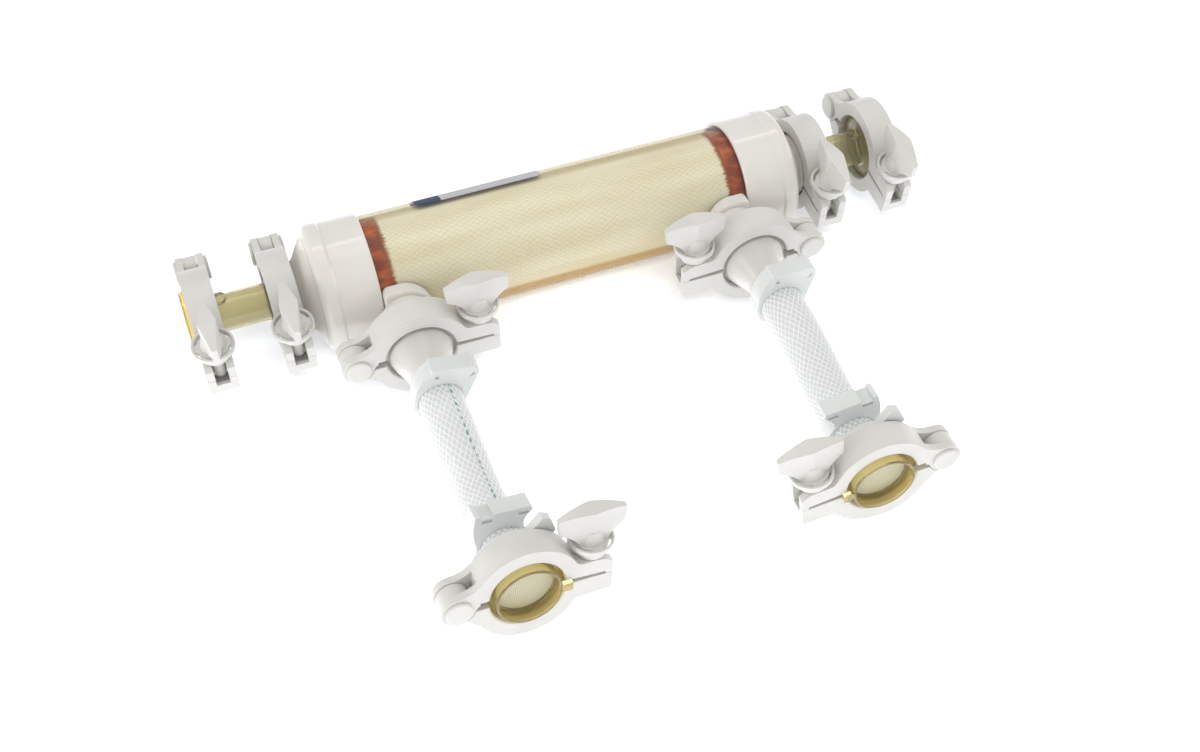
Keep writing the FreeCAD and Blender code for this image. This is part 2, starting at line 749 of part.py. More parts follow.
def make_upper_half():
    """Half ring with a fork at the hinge and an open fork over the swing bolt."""
    half = ring_half
    split = prong_low_ring
    ring = rod(ring_radius, -half, half, vec(0, 1))
    web = prism(web_between((hinge_l, hinge_n), barrel_radius, hinge_web), -half, half)
    body = ring.fuse(web)
    body = body.cut(brick((-hinge_open, 60), (-half - 1, half + 1), (-60, hinge_split_up)))
    body = body.cut(brick((-60, -hinge_open), (-half - 1, half + 1), (-60, hinge_n)))
    barrel = rod(barrel_radius, -half, half, vec(0, 1), vec(hinge_l, 0, hinge_n))
    slant = math.radians(under_angle)
    foot = (hinge_l + barrel_radius * math.cos(slant), hinge_n + barrel_radius * math.sin(slant))
    under = prism([(-hinge_open, hinge_split_up), foot, (hinge_l, hinge_n), (hinge_l, hinge_n + 6.0),
                   (-hinge_open, hinge_split_up + 6.0)], -half, half)
    seat_radius = prong_top - pivot_n
    tip_angle = math.asin((lug_end - bolt_l) / seat_radius)
    fillet_l = math.sqrt((ring_radius + prong_fillet) ** 2 - (prong_top + prong_fillet) ** 2)
    shrink = ring_radius / (ring_radius + prong_fillet)
    on_ring = (fillet_l * shrink, (prong_top + prong_fillet) * shrink)
    bisect = math.radians(prong_touch)
    touch = (fillet_l + prong_fillet * math.cos(bisect), prong_top + prong_fillet + prong_fillet * math.sin(bisect))
    foot_low = lug_split + foot_gap
    prong = prism([
        (ring_bore - prong_inset, split + 0.05), (foot_start, prong_low_tip), (foot_start, foot_low), (lug_end, foot_low),
        pivot_arc(tip_angle, 0.0, seat_radius), ((fillet_l, prong_top), touch, on_ring),
        (ring_bore - prong_inset, prong_top)], -half, half)
    body = body.fuse(barrel).fuse(under).fuse(prong)
    knuckle = knuckle_half + knuckle_gap
    body = body.cut(rod(knuckle_radius + barrel_gap, -knuckle, knuckle, vec(0, 1), vec(hinge_l, 0, hinge_n)))
    body = body.cut(brick((-70, hinge_l), (-knuckle, knuckle), (-30, 30)))
    body = body.cut(brick((hinge_l, -hinge_open), (-knuckle, knuckle), (-30, hinge_split_low + barrel_gap)))
    window_end = hinge_l + barrel_radius + knuckle_window
    body = body.cut(brick((hinge_l, window_end), (-knuckle, knuckle), (knuckle_window_low, 30)))
    body = body.cut(rod(pin_radius + pin_gap, -30, 30, vec(0, 1), vec(hinge_l, 0, hinge_n)))
    body = body.cut(rod(lug_slot_half, -20, 20, vec(0, 0, 1), vec(bolt_l, 0, 0)))
    body = body.cut(brick((bolt_l, 70), (-lug_slot_half, lug_slot_half), (-30, 30)))
    return body.cut(groove_cutter()).removeSplitter()


def make_lower_half():
    """Half ring with the hinge knuckle and the pocket that holds the swing bolt."""
    half = ring_half
    ring = rod(ring_radius, -half, half, vec(0, 1))
    shoulder = prism(shoulder_outline, -half, half)
    body = ring.fuse(shoulder)
    body = body.cut(brick((-60, 0), (-half - 1, half + 1), (hinge_split_low, 60)))
    body = body.cut(brick((-1, 60), (-half - 1, half + 1), (lug_split, 60)))
    clear = barrel_radius + barrel_gap
    body = body.cut(rod(clear, -half - 1, half + 1, vec(0, 1), vec(hinge_l, 0, hinge_n)))
    radius = knuckle_radius
    knuckle = rod(radius, -knuckle_half, knuckle_half, vec(0, 1), vec(hinge_l, 0, hinge_n))
    slant = math.radians(arm_angle)
    knuckle_low = (hinge_l + radius * math.cos(slant), hinge_n + radius * math.sin(slant))
    arm = prism([(hinge_l, hinge_n), knuckle_low] + arm_outline, -knuckle_half, knuckle_half)
    lug = prism([(lug_root_top, lug_split), (lug_end, lug_split), (lug_end, lug_low + 1.0),
                 (lug_end - 1.0, lug_low)] + lug_root, -half, half)
    body = body.fuse(knuckle).fuse(arm).fuse(lug)
    body = body.cut(rod(pin_radius + pin_gap, -30, 30, vec(0, 1), vec(hinge_l, 0, hinge_n)))
    pocket_back = bolt_l - lug_slot_half
    slot = lug_slot_half
    pocket_floor = pivot_n - ball_radius - ball_gap
    pocket = brick((pocket_back, lug_end - slot_wall), (-slot, slot), (pocket_floor, 5))
    mouth = brick((bolt_l, lug_end + 5), (-slot, slot), (slot_sill, 5))
    hole_half = trunnion_reach + 0.2
    holes = rod(trunnion_radius + trunnion_gap, -hole_half, hole_half, vec(0, 1), vec(bolt_l, 0, pivot_n))
    body = body.cut(pocket).cut(mouth).cut(holes)
    return body.cut(groove_cutter()).removeSplitter()


def make_hinge_pin():
    at = vec(hinge_l, 0, hinge_n)
    inner = ring_half + 0.05
    outer = inner + pin_head_thick
    rim = pin_head_edge
    profile = [(0, -outer), (pin_head - rim, -outer), (pin_head, -outer + rim), (pin_head, -inner)]
    profile += [(pin_radius, -inner), (pin_radius, inner), (pin_head, inner), (pin_head, outer - rim)]
    profile += [(pin_head - rim, outer), (0, outer)]
    pin = turned(profile)
    pin.translate(at)
    return pin


def make_swing_bolt():
    at = vec(bolt_l, 0, pivot_n)
    shank = rod(shank_radius, 0, bolt_top - pivot_n, vec(0, 0, 1), at)
    ball = Part.makeSphere(ball_radius, at)
    trunnion = rod(trunnion_radius, -trunnion_reach, trunnion_reach, vec(0, 1), at)
    return shank.fuse(ball).fuse(trunnion).removeSplitter()


def make_wing_nut():
    """One-piece nut: collar, slotted flange with a raised rim, neck and boat-shaped wing."""
    collar_start = prong_top + nut_gap
    profile = [(0, collar_start), (collar_low, collar_start), (collar_high, nut_flange_low)]
    profile += [(nut_flange - 0.6, nut_flange_low), (nut_flange, nut_flange_low + 0.6)]
    profile += [(nut_flange, nut_rim_high), (nut_flange - nut_rim_wall, nut_rim_high)]
    profile += [(nut_flange - nut_rim_wall - 0.5, nut_flange_high), (nut_neck_low, nut_flange_high)]
    profile += [(nut_neck_high, nut_neck_top), (0, nut_neck_top)]
    body = turned_up(profile)
    for quarter in range(4):
        body = body.cut(arc_slot(45.0 + 90.0 * quarter))
    plan = Part.Face(Part.makePolygon([
        vec(-wing_half, -wing_tip_thick), vec(0, -wing_thick), vec(wing_half, -wing_tip_thick),
        vec(wing_half, wing_tip_thick), vec(0, wing_thick), vec(-wing_half, wing_tip_thick),
        vec(-wing_half, -wing_tip_thick)]))
    boat = plan.extrude(vec(0, 0, wing_crest + 5))
    low = nut_flange_high - 0.5
    side = prism([
        (-wing_root, low), (wing_root, low),
        ((wing_root + 0.3, nut_flange_high + 0.4), (wing_root + 4.0, wing_tip_low - 4.2), (wing_under, wing_tip_low)),
        ((wing_half, wing_tip_high), (0, wing_crest), (-wing_half, wing_tip_high)),
        ((-wing_under, wing_tip_low), (-wing_root - 4.0, wing_tip_low - 4.2), (-wing_root - 0.3, nut_flange_high + 0.4))],
        -wing_thick - 1, wing_thick + 1)
    wing = boat.common(side)
    body = body.fuse(wing)
    bore = rod(shank_radius + bolt_gap, 0, bolt_top + 0.4, vec(0, 0, 1))
    nut = body.cut(bore).removeSplitter()
    nut.translate(vec(bolt_l, 0, 0))
    return nut


def turned_up(profile):
    """Solid turned about the local Z axis from (radius, height) points."""
    points = [vec(radius, 0, height) for radius, height in profile]
    face = Part.Face(Part.makePolygon(points + [points[0]]))
    return face.revolve(vec(0, 0), vec(0, 0, 1), 360)


def arc_slot(middle_angle):
    """Curved slot through the nut flange."""
    low = nut_flange_low - 0.5
    high = nut_rim_high + 0.5
    ends = []
    for radius in (nut_slot_in, nut_slot_out):
        row = []
        for turn in (-nut_slot_half_angle, 0.0, nut_slot_half_angle):
            angle = math.radians(middle_angle + turn)
            row.append(vec(radius * math.cos(angle), radius * math.sin(angle), low))
        ends.append(row)
    inner, outer = ends
    face = Part.Face(Part.Wire([
        Part.Arc(inner[0], inner[1], inner[2]).toShape(),
        Part.LineSegment(inner[2], outer[2]).toShape(),
        Part.Arc(outer[2], outer[1], outer[0]).toShape(),
        Part.LineSegment(outer[0], inner[0]).toShape()]))
    return face.extrude(vec(0, 0, high - low))


def build():
    """All nodes, in the frame whose Y is still measured from the cartridge axis."""
    nodes = {}
    middle = cartridge_frame(1)
    nodes["shell_tube"] = placed(make_shell(), middle)
    nodes["fibre_bundle"] = placed(make_bundle(), middle)
    cap = make_end_cap()
    potting = make_potting()
    ends = {"left": cartridge_frame(-1), "right": cartridge_frame(1)}
    nodes["potting"] = Part.makeCompound([placed(potting, ends[side]) for side in ends])
    nodes["label"] = make_label()
    connector = make_end_connector()
    tongue = make_tongue()
    reducer = make_reducer()
    hose_connector = make_hose_connector()
    port_clip = make_port_clip()
    end_clip = make_end_clip()
    collar = make_ramp_collar()
    collars = []
    port = make_side_port(1)
    for side, end in ends.items():
        nodes["end_cap_" + side] = placed(cap, end)
        outer = seats[side + "_outer"]
        tube = placed(connector, pipe_frame(outer))
        upright = frame_of(outer["origin"], outer["out"].cross(vec(0, 0, 1)), outer["out"], vec(0, 0, 1))
        nodes["end_connector_" + side] = tube.fuse(placed(tongue, upright)).removeSplitter()
        port_place = seats[side + "_port"]
        hose_place = seats[side + "_hose"]
        towards_middle = pipe_frame(port_place)
        nodes["side_port_" + side] = placed(port, towards_middle)
        nodes["side_reducer_" + side] = placed(reducer, pipe_frame(port_place))
        nodes["hose_" + side] = make_hose(port_place, hose_place)
        nodes["hose_connector_" + side] = placed(hose_connector, pipe_frame(hose_place))
        collars.append(placed(collar, side_frame(hose_place)))
        near = dict(port_place)
        near["origin"] = port_place["origin"] + port_place["out"] * clip_near
        far = dict(hose_place)
        far["origin"] = hose_place["origin"] - hose_place["out"] * clip_far
        nodes["hose_clip_%s_port" % side] = placed(port_clip, side_frame(near, clip_turn[side + "_port"]))
        reverse = end_clip if side == "left" else turned_round(end_clip)
        nodes["hose_clip_%s_end" % side] = placed(reverse, side_frame(far, clip_turn[side + "_hose"]))
    nodes["ramp_collars"] = Part.makeCompound(collars)
    cup = make_cover_cup()
    disc = make_cup_disc()
    discs = []
    for name in ("left_outer", "right_outer", "left_hose", "right_hose"):
        nodes["cover_cup_" + name] = placed(cup, pipe_frame(seats[name]))
        discs.append(placed(disc, pipe_frame(seats[name])))
    nodes["cup_discs"] = Part.makeCompound(discs)
    gasket = make_gasket()
    pin = make_hinge_pin()
    upper = make_upper_half()
    lower = make_lower_half()
    bolt = make_swing_bolt()
    nut = make_wing_nut()
    gaskets = []
    pins = []
    for name, place in seats.items():
        frame = clamp_frame(place)
        gaskets.append(placed(gasket, frame))
        pins.append(placed(pin, frame))
        nodes["clamp_upper_" + name] = placed(upper, frame)
        nodes["clamp_lower_" + name] = placed(lower, frame)
        nodes["swing_bolt_" + name] = placed(bolt, frame)
        nodes["wing_nut_" + name] = placed(nut, frame)
    nodes["gaskets"] = Part.makeCompound(gaskets)
    nodes["hinge_pins"] = Part.makeCompound(pins)
    return nodes


nodes = build()

# The origin lies on the floor under the middle of the whole object
whole = Part.makeCompound(list(nodes.values())).BoundBox
shift = vec(-(whole.XMin + whole.XMax) / 2, -(whole.YMin + whole.YMax) / 2, -whole.ZMin)
os.makedirs("parts", exist_ok=True)
for name, shape in nodes.items():
    shape.translate(shift)
    shape.exportStep("parts/" + name + ".step")
print("%d nodes, shift %.3f %.3f %.3f, size %.1f x %.1f x %.1f mm" % (
    len(nodes), shift.x, shift.y, shift.z, whole.XLength, whole.YLength, whole.ZLength))
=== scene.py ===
import math

import bpy
from mathutils import Matrix, Vector


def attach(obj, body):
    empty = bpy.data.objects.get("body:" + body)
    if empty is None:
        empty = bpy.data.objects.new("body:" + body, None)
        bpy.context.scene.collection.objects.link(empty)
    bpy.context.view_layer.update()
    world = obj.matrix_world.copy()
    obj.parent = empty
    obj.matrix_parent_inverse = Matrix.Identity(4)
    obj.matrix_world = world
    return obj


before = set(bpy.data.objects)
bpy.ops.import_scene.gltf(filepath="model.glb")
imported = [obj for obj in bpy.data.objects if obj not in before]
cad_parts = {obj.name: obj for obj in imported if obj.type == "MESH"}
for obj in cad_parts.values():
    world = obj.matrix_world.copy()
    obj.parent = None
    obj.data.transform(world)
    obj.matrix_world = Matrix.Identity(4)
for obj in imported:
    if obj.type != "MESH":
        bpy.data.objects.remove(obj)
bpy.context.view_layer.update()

print("frame loaded, nodes:", len(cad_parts))

mm = 0.001
axisY, axisZ = 113.686, 44.0  # where the cartridge's axis lies, in mm
waveTurn = 0.314  # metres from crest to crest of a Wave texture at Scale 1


# Colours and nodes. Sizes in the dictionaries are in mm, and noise scales are patches to the metre

def inkOf(hexCode):
    # sRGB hex to the linear colour that shaders take
    channels = [int(hexCode[i:i + 2], 16) / 255 for i in (1, 3, 5)]
    linear = [c / 12.92 if c <= 0.04045 else ((c + 0.055) / 1.055) ** 2.4 for c in channels]
    return (*linear, 1.0)


def addNode(tree, kind, links=None, inputs=None, stops=None, **settings):
    # stops are the places and colours of a colour ramp
    node = tree.nodes.new(kind)
    for name, value in settings.items():
        setattr(node, name, value)
    for name, value in (inputs or {}).items():
        node.inputs[name].default_value = value
    for name, socket in (links or {}).items():
        tree.links.new(socket, node.inputs[name])
    if stops:
        marks = node.color_ramp.elements
        while len(marks) < len(stops):
            marks.new(0.5)
        for mark, (position, ink) in zip(marks, stops):
            mark.position = position
            mark.color = inkOf(ink)
    return node


def newMaterial(name):
    material = bpy.data.materials.new(name)
    material.use_nodes = True
    tree = material.node_tree
    tree.nodes.clear()
    output = tree.nodes.new("ShaderNodeOutputMaterial")
    place = addNode(tree, "ShaderNodeTexCoord").outputs["Object"]
    return material, tree, output, place


def softEdge(tree, radius, surface, height):
    # rounds hard edges in the shading, then lays the fine surface over it
    edge = addNode(tree, "ShaderNodeBevel", inputs={"Radius": radius * mm}, samples=6)
    bump = addNode(tree, "ShaderNodeBump", inputs={"Strength": 0.6, "Distance": height * mm},
                   links={"Height": surface, "Normal": edge.outputs["Normal"]})
    return bump.outputs["Normal"]


# Moulded nylon of the clamps: satin, cool off-white, with the faint grain of a spark-eroded tool
nylon = {"base": "#d8d6d1", "shade": "#d3d1cc", "clouds": 45.0, "roughness": 0.42, "unevenness": 0.06,
         "grain": 0.5, "grainHeight": 0.02, "edge": 0.55}
# The hose clips are of a whiter nylon from a smoother tool
clipLook = dict(nylon, base="#dcdedc", shade="#d6d8d6", roughness=0.34, edge=0.35)


def makeNylon(name, look):
    material, tree, output, place = newMaterial(name)
    cloud = addNode(tree, "ShaderNodeTexNoise", links={"Vector": place},
                    inputs={"Scale": look["clouds"], "Detail": 3.0})
    grain = addNode(tree, "ShaderNodeTexNoise", links={"Vector": place},
                    inputs={"Scale": 1 / (look["grain"] * mm), "Detail": 2.0})
    colour = addNode(tree, "ShaderNodeValToRGB", links={"Fac": cloud.outputs["Fac"]},
                     stops=[(0.35, look["shade"]), (0.62, look["base"])])
    rough = addNode(tree, "ShaderNodeMapRange", links={"Value": cloud.outputs["Fac"]},
                    inputs={"To Min": look["roughness"] - look["unevenness"],
                            "To Max": look["roughness"] + look["unevenness"]})
    normal = softEdge(tree, look["edge"], grain.outputs["Fac"], look["grainHeight"])
    shader = addNode(tree, "ShaderNodeBsdfPrincipled",
                     links={"Base Color": colour.outputs["Color"], "Roughness": rough.outputs["Result"],
                            "Normal": normal},
                     inputs={"IOR": 1.53, "Subsurface Weight": 0.12, "Subsurface Scale": 0.0015,
                             "Subsurface Radius": (1.0, 0.96, 0.9)})
    tree.links.new(shader.outputs["BSDF"], output.inputs["Surface"])
    return material


clampNylon = makeNylon("satinMouldedNylon", nylon)
clipNylon = makeNylon("clipMouldedNylon", clipLook)

# Gloss-moulded polysulfone of the caps and ports: warm cream, polished tool, soft reflections
cream = {"base": "#e4e1da", "shade": "#dfdbd3", "clouds": 25.0, "waviness": 0.15, "roughness": 0.13,
         "edge": 0.5}


def makeCream():
    material, tree, output, place = newMaterial("polishedCreamPolysulfone")
    cloud = addNode(tree, "ShaderNodeTexNoise", links={"Vector": place},
                    inputs={"Scale": cream["clouds"], "Detail": 2.0})
    colour = addNode(tree, "ShaderNodeValToRGB", links={"Fac": cloud.outputs["Fac"]},
                     stops=[(0.3, cream["shade"]), (0.7, cream["base"])])
    normal = softEdge(tree, cream["edge"], cloud.outputs["Fac"], cream["waviness"])
    shader = addNode(tree, "ShaderNodeBsdfPrincipled",
                     links={"Base Color": colour.outputs["Color"], "Normal": normal},
                     inputs={"Roughness": cream["roughness"], "IOR": 1.63, "Subsurface Weight": 0.08,
                             "Subsurface Scale": 0.002, "Subsurface Radius": (1.0, 0.96, 0.88)})
    tree.links.new(shader.outputs["BSDF"], output.inputs["Surface"])
    return material


creamCap = makeCream()

# Extruded polysulfone of the shell: nearly colourless, tan where the wall is seen edge on, and a painted
# shade makes the tan deepest below.
# The span of the low colour holds the heights from the axis between which this painted shade comes in
shellLook = {"thin": "#fdfcf8", "thick": "#e0dac6", "ramp": (0.5, 0.6), "low": "#ecd7a8",
             "shadeBelowSpan": (14.0, -10.0), "gloss": 0.05, "body": 0.0, "bodyInk": "#ffffff", "ior": 1.6,
             "edge": 0.0, "wave": 0.0, "castsShadow": False}
# Extruded silicone of the hoses: soft gloss, and milky enough to hide the bore
hoseLook = {"thin": "#f8f9f9", "thick": "#eceeef", "ramp": (0.1, 0.9), "low": None, "gloss": 0.14,
            "body": 0.68, "bodyInk": "#f2f3f4", "ior": 1.42, "edge": 0.3, "wave": 0.1, "castsShadow": True}
# Moulded silicone of the gaskets: the same rubber, matt and putty-coloured
gasketLook = dict(hoseLook, thin="#e8e2d8", thick="#c9c0b2", gloss=0.3, body=0.6, bodyInk="#ddd6cb")
ripples = 60.0  # the slight waves of polished plastic, to the metre


def paintedShadeBelow(tree, place, facing, tint, look):
    # painted shade: the underside takes a deeper tan tint than the top
    height = addNode(tree, "ShaderNodeSeparateXYZ", links={"Vector": place})
    upper, lower = look["shadeBelowSpan"]
    share = addNode(tree, "ShaderNodeMapRange", links={"Value": height.outputs["Z"]},
                    inputs={"From Min": (axisZ + upper) * mm, "From Max": (axisZ + lower) * mm})
    shadedUnder = addNode(tree, "ShaderNodeValToRGB", links={"Fac": facing},
                    stops=[(look["ramp"][0], look["thin"]), (look["ramp"][1], look["low"])])
    both = addNode(tree, "ShaderNodeMix", data_type="RGBA",
                   links={"Factor": share.outputs["Result"], "A": tint, "B": shadedUnder.outputs["Color"]})
    return both.outputs["Result"]


def lettingLightBy(tree, shader, ink, share):
    # to a shadow ray the plastic is a tinted window, so light still reaches the parts behind it
    rays = addNode(tree, "ShaderNodeLightPath")
    window = addNode(tree, "ShaderNodeBsdfTransparent", inputs={"Color": inkOf(ink)})
    amount = addNode(tree, "ShaderNodeMath", operation="MULTIPLY", links={0: rays.outputs["Is Shadow Ray"]},
                     inputs={1: share})
    mix = addNode(tree, "ShaderNodeMixShader",
                  links={"Fac": amount.outputs[0], 1: shader, 2: window.outputs["BSDF"]})
    return mix.outputs["Shader"]


def makeClear(name, look):
    # thin clear walls: light passes with the plastic's tint, deeper where the wall is seen edge on
    material, tree, output, place = newMaterial(name)
    slope = addNode(tree, "ShaderNodeLayerWeight", inputs={"Blend": 0.5})
    ramp = addNode(tree, "ShaderNodeValToRGB", links={"Fac": slope.outputs["Facing"]},
                   stops=[(look["ramp"][0], look["thin"]), (look["ramp"][1], look["thick"])])
    tint = ramp.outputs["Color"]
    # on the shell, a painted shade deepens the tint on the underside
    if look["low"]:
        tint = paintedShadeBelow(tree, place, slope.outputs["Facing"], tint, look)
    clear = addNode(tree, "ShaderNodeBsdfTransparent", links={"Color": tint})
    ripple = addNode(tree, "ShaderNodeTexNoise", links={"Vector": place},
                     inputs={"Scale": ripples, "Detail": 1.0})
    normal = softEdge(tree, look["edge"], ripple.outputs["Fac"], look["wave"])
    body = addNode(tree, "ShaderNodeBsdfPrincipled", links={"Normal": normal},
                   inputs={"Base Color": inkOf(look["bodyInk"]), "Roughness": look["gloss"],
                           "IOR": look["ior"]})
    # reflection grows towards the edge, alike on the outer and inner wall
    tilt = addNode(tree, "ShaderNodeLayerWeight", inputs={"Blend": 0.5}, links={"Normal": normal})
    rise = addNode(tree, "ShaderNodeMath", operation="POWER", links={0: tilt.outputs["Facing"]},
                   inputs={1: 5.0})
    straightOn = ((look["ior"] - 1) / (look["ior"] + 1)) ** 2
    share = addNode(tree, "ShaderNodeMapRange", links={"Value": rise.outputs[0]},
                    inputs={"To Min": straightOn / 2 + look["body"], "To Max": 0.85})
    mix = addNode(tree, "ShaderNodeMixShader",
                  links={"Fac": share.outputs["Result"], 1: clear.outputs["BSDF"], 2: body.outputs["BSDF"]})
    surface = mix.outputs["Shader"]
    if not look["castsShadow"]:
        surface = lettingLightBy(tree, surface, look["thin"], 1.0)
    tree.links.new(surface, output.inputs["Surface"])
    return material


shellClear = makeClear("extrudedClearPolysulfone", shellLook)

# Injection-moulded amber polysulfone of the cups: clear and glossy, golden in the thick rims
cupLook = {"ink": "#faecb4", "gloss": 0.03, "clarity": 0.9, "ior": 1.5, "edge": 0.4, "wave": 0.05}
# The end connectors are of the same plastic, greener and a little less clear
tubeLook = dict(cupLook, ink="#dfd8b2", clarity=0.84)
# Moulded polypropylene of the reducers: frosted white, with a soft gloss
reducerLook = dict(cupLook, ink="#fdfaf6", gloss=0.08, clarity=0.5, ior=1.45)


def makeGlassy(name, look):
    # solid mouldings that bend what is seen through them
    material, tree, output, place = newMaterial(name)
    ripple = addNode(tree, "ShaderNodeTexNoise", links={"Vector": place},
                     inputs={"Scale": ripples, "Detail": 1.0})
    normal = softEdge(tree, look["edge"], ripple.outputs["Fac"], look["wave"])
    shader = addNode(tree, "ShaderNodeBsdfPrincipled", links={"Normal": normal},
                     inputs={"Base Color": inkOf(look["ink"]), "Roughness": look["gloss"], "IOR": look["ior"],
                             "Transmission Weight": look["clarity"]})
    surface = lettingLightBy(tree, shader.outputs["BSDF"], look["ink"], look["clarity"])
    tree.links.new(surface, output.inputs["Surface"])
    return material


amberCup = makeGlassy("mouldedAmberPolysulfone", cupLook)
amberTube = makeGlassy("extrudedPaleAmberPolysulfone", tubeLook)
frosted = makeGlassy("mouldedTranslucentPolypropylene", reducerLook)
hoseClear = makeClear("extrudedClearSilicone", hoseLook)
gasketClear = makeClear("mouldedSiliconeGasket", gasketLook)

# Hollow fibres: crimped pale strands, seen as a fine slanting weave; the ends fray into the resin.
# Crimp and fray are drawn as coarse as they look in the photo, since a single fibre is too fine to show
# the hollow colour is a painted shade for the hollows between the lengthwise swells
# the rim colour over its span is partly painted shade, deepest along the lower outline
fibres = {"light": "#f4f2e6", "mid": "#efecdb", "dark": "#e4ddc2", "soaked": "#9a541f", "hollow": "#f3efe4",
          "rim": "#cdb67c", "rimShadeSpan": (8.0, -12.0), "radius": 37.0, "crimp": 2.9, "crimpHeight": 0.25,
          "leans": (24.0, -38.0), "warps": 60.0, "wander": 4.0, "strand": 0.5, "strandPull": 0.12,
          "weaveShare": 0.58, "end": 119.6, "fray": 3.2, "frayShift": 0.8, "combs": 1500.0, "wetFrom": 1.1,
          "wetTo": 0.7, "swells": 55.0, "swellPull": 0.16}


def unrolled(tree, place):
    # the bundle's surface laid flat, with the length in X and the way round in Y
    split = addNode(tree, "ShaderNodeSeparateXYZ", links={"Vector": place})
    up = addNode(tree, "ShaderNodeMath", operation="SUBTRACT", links={0: split.outputs["Z"]},
                 inputs={1: axisZ * mm})
    back = addNode(tree, "ShaderNodeMath", operation="SUBTRACT", links={0: split.outputs["Y"]},
                   inputs={1: axisY * mm})
    angle = addNode(tree, "ShaderNodeMath", operation="ARCTAN2", links={0: up.outputs[0], 1: back.outputs[0]})
    around = addNode(tree, "ShaderNodeMath", operation="MULTIPLY", links={0: angle.outputs[0]},
                     inputs={1: fibres["radius"] * mm})
    flat = addNode(tree, "ShaderNodeCombineXYZ", links={"X": split.outputs["X"], "Y": around.outputs[0]})
    return split, flat.outputs[0]


def weaveOf(tree, flat):
    # two slanting sets of crimps that wander, over the lengthwise strands
    warp = addNode(tree, "ShaderNodeTexNoise", links={"Vector": flat},
                   inputs={"Scale": fibres["warps"], "Detail": 2.0})
    drift = addNode(tree, "ShaderNodeVectorMath", operation="SCALE", links={0: warp.outputs["Color"]},
                    inputs={"Scale": fibres["wander"] * mm})
    bent = addNode(tree, "ShaderNodeVectorMath", operation="ADD", links={0: flat, 1: drift.outputs[0]})
    waves = []
    for lean in fibres["leans"]:
        spin = addNode(tree, "ShaderNodeMapping", links={"Vector": bent.outputs[0]},
                       inputs={"Rotation": (0.0, 0.0, math.radians(lean))})
        band = addNode(tree, "ShaderNodeTexWave", bands_direction="Y",
                       links={"Vector": spin.outputs["Vector"]},
                       inputs={"Scale": waveTurn / (fibres["crimp"] * mm), "Distortion": 1.2, "Detail": 1.0})
        waves.append(band.outputs["Fac"])
    crossing = addNode(tree, "ShaderNodeMath", operation="MULTIPLY", links={0: waves[0], 1: waves[1]})
    stretched = addNode(tree, "ShaderNodeMapping", links={"Vector": bent.outputs[0]},
                        inputs={"Scale": (fibres["strandPull"], 1.0, 1.0)})
    strand = addNode(tree, "ShaderNodeTexNoise", links={"Vector": stretched.outputs["Vector"]},
                     inputs={"Scale": 1 / (fibres["strand"] * mm), "Detail": 3.0, "Roughness": 0.6})
    weave = addNode(tree, "ShaderNodeMix", inputs={"Factor": fibres["weaveShare"]},
                    links={"A": strand.outputs["Fac"], "B": crossing.outputs[0]})
    return weave.outputs["Result"], stretched.outputs["Vector"]


def soakedEnds(tree, length, strands, colour):
    # the edge of the resin wanders strand by strand
    reach = addNode(tree, "ShaderNodeMath", operation="ABSOLUTE", links={0: length})
    comb = addNode(tree, "ShaderNodeTexNoise", links={"Vector": strands},
                   inputs={"Scale": fibres["combs"], "Detail": 2.0})
    jag = addNode(tree, "ShaderNodeMath", operation="MULTIPLY_ADD", links={0: comb.outputs["Fac"]},
                  inputs={1: fibres["fray"] * 2 * mm, 2: -fibres["fray"] * fibres["frayShift"] * mm})
    frayed = addNode(tree, "ShaderNodeMath", operation="ADD", links={0: reach.outputs[0], 1: jag.outputs[0]})
    wet = addNode(tree, "ShaderNodeMapRange", links={"Value": frayed.outputs[0]},
                  inputs={"From Min": (fibres["end"] - fibres["wetFrom"]) * mm,
                          "From Max": (fibres["end"] + fibres["wetTo"]) * mm})
    soaked = addNode(tree, "ShaderNodeMix", data_type="RGBA", inputs={"B": inkOf(fibres["soaked"])},
                     links={"Factor": wet.outputs["Result"], "A": colour})
    return soaked.outputs["Result"]


def shadedSwellsAlong(tree, flat, colour):
    # the bundle lies in soft lengthwise swells, with painted shade darkening its colour in their hollows
    swell = addNode(tree, "ShaderNodeMapping", links={"Vector": flat},
                    inputs={"Scale": (fibres["swellPull"], 1.0, 1.0)})
    hills = addNode(tree, "ShaderNodeTexNoise", links={"Vector": swell.outputs["Vector"]},
                    inputs={"Scale": fibres["swells"], "Detail": 1.0})
    shade = addNode(tree, "ShaderNodeValToRGB", links={"Fac": hills.outputs["Fac"]},
                    stops=[(0.3, fibres["hollow"]), (0.6, "#ffffff")])
    swelled = addNode(tree, "ShaderNodeMix", data_type="RGBA", blend_type="MULTIPLY",
                      links={"A": colour, "B": shade.outputs["Color"]}, inputs={"Factor": 1.0})
    return swelled.outputs["Result"]


def tanOutlineShadedBelow(tree, height, colour):
    # the thick shell wall bends a tan band into view along the outline, and a painted shade makes it
    # strongest along the lower outline
    slope = addNode(tree, "ShaderNodeLayerWeight", inputs={"Blend": 0.5})
    rim = addNode(tree, "ShaderNodeValToRGB", links={"Fac": slope.outputs["Facing"]},
                  stops=[(0.08, "#000000"), (0.57, "#a8a8a8"), (0.63, "#ffffff")])
    upper, lower = fibres["rimShadeSpan"]
    lowerShade = addNode(tree, "ShaderNodeMapRange", links={"Value": height},
                    inputs={"From Min": (axisZ + upper) * mm, "From Max": (axisZ + lower) * mm,
                            "To Min": 0.1, "To Max": 1.0})
    strength = addNode(tree, "ShaderNodeMath", operation="MULTIPLY",
                       links={0: rim.outputs["Color"], 1: lowerShade.outputs["Result"]})
    rimmed = addNode(tree, "ShaderNodeMix", data_type="RGBA", blend_type="MULTIPLY",
                     links={"Factor": strength.outputs[0], "A": colour}, inputs={"B": inkOf(fibres["rim"])})
    return rimmed.outputs["Result"]


